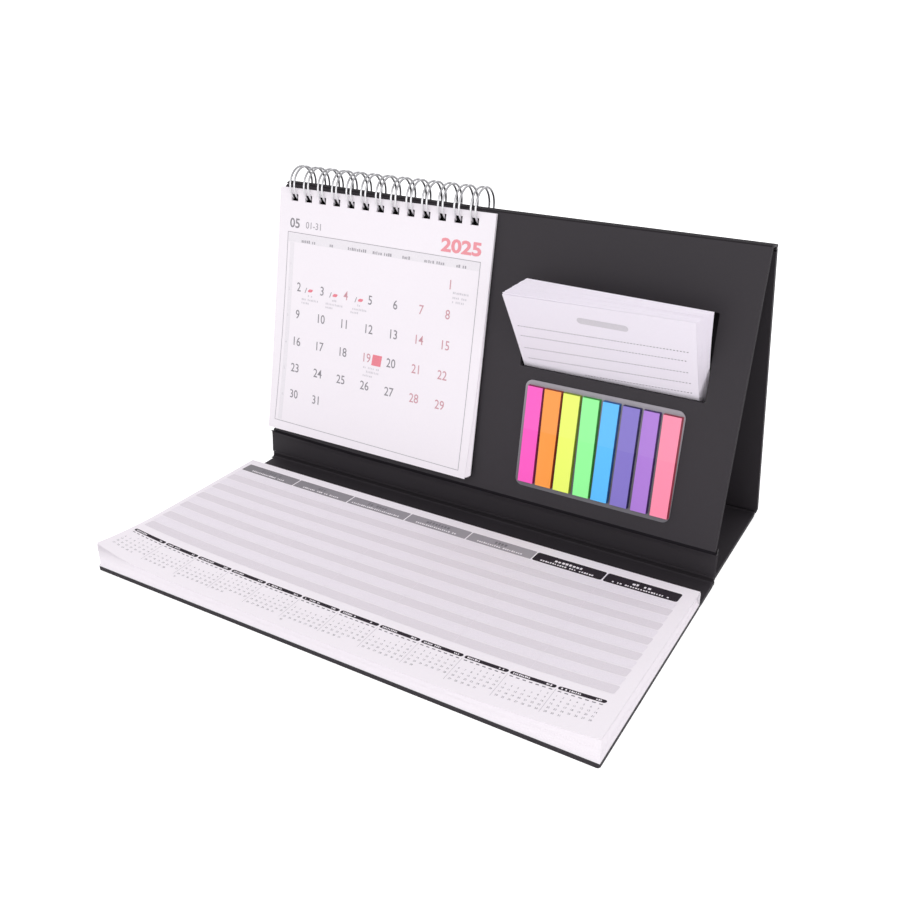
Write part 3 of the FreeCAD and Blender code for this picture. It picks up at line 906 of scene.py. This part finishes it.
# Twin-loop wire: a flat row of tall loops, rolled up round the rings' centre line.
turn = 2 * math.pi * ring["radius"]
high = turn - ring["gap"] - ring["halfPitch"]
hp = ring["halfPitch"]
path = []
for k, x in enumerate(holeX + ring["shift"]):
    leans = rng.uniform(-1, 1, 2) * ring["sway"]
    t = np.linspace(hp, high, 60)
    sway = np.sin(np.pi * (t / turn)) ** 2
    a = np.linspace(0, math.pi, 10)[1:-1]
    q = np.linspace(0, math.pi / 2, 6)[:-1]
    if k:
        path.append(np.stack([x - 2 * hp + hp * np.sin(q), hp * (1 - np.cos(q))], -1))
    path.append(np.stack([x - hp + leans[0] * sway, t], -1))
    path.append(np.stack([x - hp * np.cos(a), high + hp * np.sin(a)], -1))
    path.append(np.stack([x + hp + leans[1] * sway[::-1], t[::-1]], -1))
    if k < ring["count"] - 1:
        path.append(np.stack([x + 2 * hp - hp * np.cos(q), hp * (1 - np.sin(q))], -1))
path = np.concatenate(path)
theta = path[:, 1] / ring["radius"]
radial = np.stack([0 * theta, -np.sin(theta), -np.cos(theta)], -1)
line = np.array([0, ringCentre[1], ringCentre[2]]) + ring["radius"] * radial
line[:, 0] = path[:, 0]
along = np.gradient(line, axis=0)
along /= np.linalg.norm(along, axis=1)[:, None]
across = np.cross(along, radial)
across /= np.linalg.norm(across, axis=1)[:, None]
phi = np.linspace(0, 2 * math.pi, 11)[:-1]
rings = line[:, None] + ring["wire"] * (np.cos(phi)[None, :, None] * radial[:, None]
                                        + np.sin(phi)[None, :, None] * across[:, None])
# The wire's colour above the panel, its painted highlight in front of it, and its painted shade inside the
# holes.
wireLitAndShaded = {"above": (0.45, 0.45, 0.46), "front": (0.86, 0.86, 0.87), "inside": (0.02, 0.02, 0.022)}
wireLightZones = {"frontTop": 0.134, "holeFace": 0.0014, "holeDepth": -0.006, "holeTop": 0.127}


def wireFinish():
    # Bright wire with light and shade painted in: a painted highlight makes it lighter in front of the panel,
    # and painted shade makes it near black inside the holes.
    f = Finish("binderWire", (0.5, 0.5, 0.51), 0.28, 1.0)
    y = f.split(1) - mm * stand["footY"]
    z = f.split(2) - mm * stand["footZ"]
    outward = z * math.sin(lean) - y * math.cos(lean)
    upward = z * math.cos(lean) + y * math.sin(lean)
    # Painted highlight on the wire in front of the panel.
    near = f.clamp((wireLightZones["frontTop"] - upward) * 250.0) * f.clamp(outward * 900.0)
    # Painted shade on the wire inside the holes.
    inside = f.clamp((wireLightZones["holeFace"] - outward) * 1500.0) * (outward > wireLightZones["holeDepth"])
    inside = inside * f.clamp((wireLightZones["holeTop"] - upward) * 2000.0)
    f.base(f.mix(inside, f.mix(near, wireLitAndShaded["above"], wireLitAndShaded["front"]), wireLitAndShaded["inside"]))
    return f.mat


place(addMesh("twinLoopWire", *loftParts(rings), wireFinish()), "front", "binding_wire", "wire_binding")
print("wire done")

# Block of notes, tipped forward in the window, its sheets fanned out.
note = {"low": -7.0, "high": 45.0, "tip": math.radians(37.8), "sheets": 40, "thick": 6.9, "front": 0.3,
        "seat": 0.3, "jitter": 0.25, "dotPitch": 1.4, "dotLength": 0.7, "dotHalf": 0.2}
# Where the front sheet's sides start, and how far sides and depth move towards the back and upwards.
fan = {"left": 21.9, "leftBack": 3.7, "leftUp": 1.8, "leftBackUp": 4.6, "right": 103.2, "rightBack": 2.1,
       "rightUp": 1.3, "rightBackUp": 2.5, "deepUp": 1.6, "deepRight": 1.5}
# Start and end of each dotted line, across and up the front sheet.
dotLines = ((24, 24.9, 100, 27.6), (24.2, 19, 99.7, 22.3), (24.5, 11.5, 99.3, 15.5), (25.2, 5.0, 99.7, 9.2),
            (52, 0.9, 99.9, 3.3))
noteEdge = panel["window"][2] + note["seat"] / math.sin(note["tip"])


def noteSpot(x, v, depth):
    # x across, v up the sheets from the window's edge, depth behind the front sheet's face.
    s = noteEdge + v * math.cos(note["tip"]) + depth * math.sin(note["tip"])
    w = -stand["cover"] + v * math.sin(note["tip"]) - depth * math.cos(note["tip"])
    return onFront(x, s, w)


def noteGrid(share, top, nx, nv):
    # Sides and depth change with the share of the way through the block and with the height.
    u = np.linspace(0, 1, nx)[:, None]
    high = top[0] + (top[1] - top[0]) * u
    v = note["low"] + (high - note["low"]) * np.linspace(0, 1, nv)
    up = np.clip(v / note["high"], 0, None)
    left = fan["left"] + fan["leftBack"] * share - (fan["leftUp"] - fan["leftBackUp"] * share) * up ** 1.3
    right = fan["right"] + fan["rightBack"] * share
    right = right + (fan["rightUp"] + fan["rightBackUp"] * share) * up ** 1.5
    depth = note["thick"] * share + share * (fan["deepUp"] - fan["deepRight"] * u) * up
    return left + (right - left) * u, v, depth


heap = Heap()
for k in range(note["sheets"]):
    share = (k + 1) / note["sheets"]
    slip = rng.uniform(-1, 0, 3) * note["jitter"]
    x, v, depth = noteGrid(share, (43.2 + 2.2 * share + slip[0], 44.8 + slip[1]), 10, 12)
    depth = depth + note["front"] - 0.1
    thin = note["thick"] / note["sheets"] * 0.85
    heap.add(*slabParts(noteSpot(x + slip[2] * 0.5, v, depth), noteSpot(x + slip[2] * 0.5, v, depth + thin)))
place(sharpen(heap.piece("noteBlock", noteMat)), "notes", "note_paper", "note_block")
x, v = noteGrid(0.0, (42.5, 44.8), 24, 20)[:2]
frontSheet = slabParts(noteSpot(x, v, 0.0), noteSpot(x, v, 0.2))
place(sharpen(addMesh("noteFrontSheet", *frontSheet, noteMat)), "notes", "printed_note", "note_front_sheet")


def notePrint(x, v):
    # Just in front of the front sheet.
    return noteSpot(x, v, -0.04)


dots = []
for x0, v0, x1, v1 in dotLines:
    for t in np.arange(0, 1, note["dotPitch"] / (x1 - x0)):
        x = x0 + (x1 - x0) * t
        v = v0 + (v1 - v0) * t
        dots.append(bar(notePrint, x, x + note["dotLength"], v - note["dotHalf"], v + note["dotHalf"]))
printPiece("noteDots", dots, inkMats["text"], "notes", "printed_note")
printPiece("noteBar", [bar(notePrint, 53.3, 75.8, 33.1, 36.5, 1.6)], inkMats["pale"], "notes", "printed_note")
print("notes done")

# Film flags on a grey card: colour, then left and right edge at the top and at the foot.
flags = {"low": 10.6, "high": 55.75, "from": 0.42, "to": 2.1, "sheets": 8, "side": 0.5, "over": 0.35,
         "lightFrom": 0.0535, "shade": 0.9, "edgeShade": 0.3, "glow": 0.1}
film = {"pink": ((1.0, 0.09, 0.55), 27.06, 34.4, 27.2, 34.6),
        "orange": ((1.0, 0.33, 0.04), 35.4, 43.5, 36.0, 43.6),
        "yellow": ((0.86, 1.0, 0.14), 44.6, 52.5, 45.0, 52.7),
        "green": ((0.29, 1.0, 0.32), 53.75, 61.6, 54.75, 62.25),
        "blue": ((0.09, 0.52, 1.0), 63.3, 70.8, 63.5, 71.0),
        "violet": ((0.22, 0.17, 0.58), 72.5, 80.2, 72.7, 80.4),
        "lilac": ((0.42, 0.19, 0.68), 81.9, 88.9, 82.3, 89.4),
        "salmon": ((1.0, 0.26, 0.40), 90.5, 98.5, 91.25, 98.9)}


def filmFinish(name, colour, glow):
    # Glossy dyed film, a little lighter towards its top; its faint glow is painted light.
    f = Finish(name, colour, 0.35, Specular_IOR_Level=0.35)
    streaks = f.noise(60.0, 2.0, (1.0, 1.0, 0.1))
    light = (f.split(2) > flags["lightFrom"]) * 0.25
    f.base(f.mix(light + streaks * 0.3, colour, tuple(0.9 * c + 0.1 for c in colour)))
    f.glow(colour, glow)
    return f.mat


for name, (colour, left1, right1, left0, right0) in film.items():
    # Each flag's face glows faintly, as painted light; its sides and lower sheets get a darker copy of its
    # colour, as painted shade.
    face = filmFinish("film" + name.capitalize(), tint(colour, flags["shade"]), flags["glow"])
    edge = filmFinish("edge" + name.capitalize(), tuple(flags["edgeShade"] * c * c for c in colour), 0.0)
    heap = Heap()
    step = (flags["to"] - flags["from"]) / flags["sheets"]
    for k in range(flags["sheets"]):
        deep = 1 - (k + 1) / flags["sheets"]
        u, t = np.meshgrid([0.0, 1.0], np.linspace(0, 1, 6), indexing="ij")
        s = flags["low"] + (flags["high"] + flags["over"] * deep - flags["low"]) * t
        x = (left0 + (left1 - left0) * t) * (1 - u)
        x = x + (right0 + (right1 - right0) * t + flags["side"] * deep) * u
        w = flags["from"] + step * (k + 1)
        verts, faces = slabParts(onFront(x, s, w), onFront(x, s, w - step * 0.98))
        last = k == flags["sheets"] - 1
        heap.add(verts, faces, [0 if last and i < 5 else 1 for i in range(len(faces))])
    place(sharpen(heap.piece("flag" + name.capitalize(), [face, edge], False)), "front", "film_" + name,
          "flag_" + name)
card = {"left": 25.2, "right": 99.6, "low": 8.2, "high": 58.3, "corner": 3.4, "levels": (0.06, 0.4),
        "shadeFrom": 0.026}
# The card gets lighter from its foot to its top.
cardFinish = Finish("flagCard", (0.3, 0.3, 0.3), 0.6)
cardFinish.base(cardFinish.mix((cardFinish.split(2) - card["shadeFrom"]) * 20.0, (0.145, 0.14, 0.155),
                               (0.34, 0.32, 0.35)))
turn = np.linspace(0, math.pi / 2, 7)
corner = card["corner"] * np.stack([1 - np.cos(turn), 1 - np.sin(turn)], -1)
outline = np.concatenate([[card["left"], card["low"]] + corner,
                          [card["right"], card["low"]] + corner[::-1] * [-1, 1],
                          [card["right"], card["high"]] - corner,
                          [card["left"], card["high"]] + corner[::-1] * [1, -1]])
rings = [onFront(outline[:, 0], outline[:, 1], w) for w in card["levels"]]
place(sharpen(addMesh("flagCard", *loftParts(rings), cardFinish.mat)), "front", "flag_carrier", "flag_card")
print("flags done")
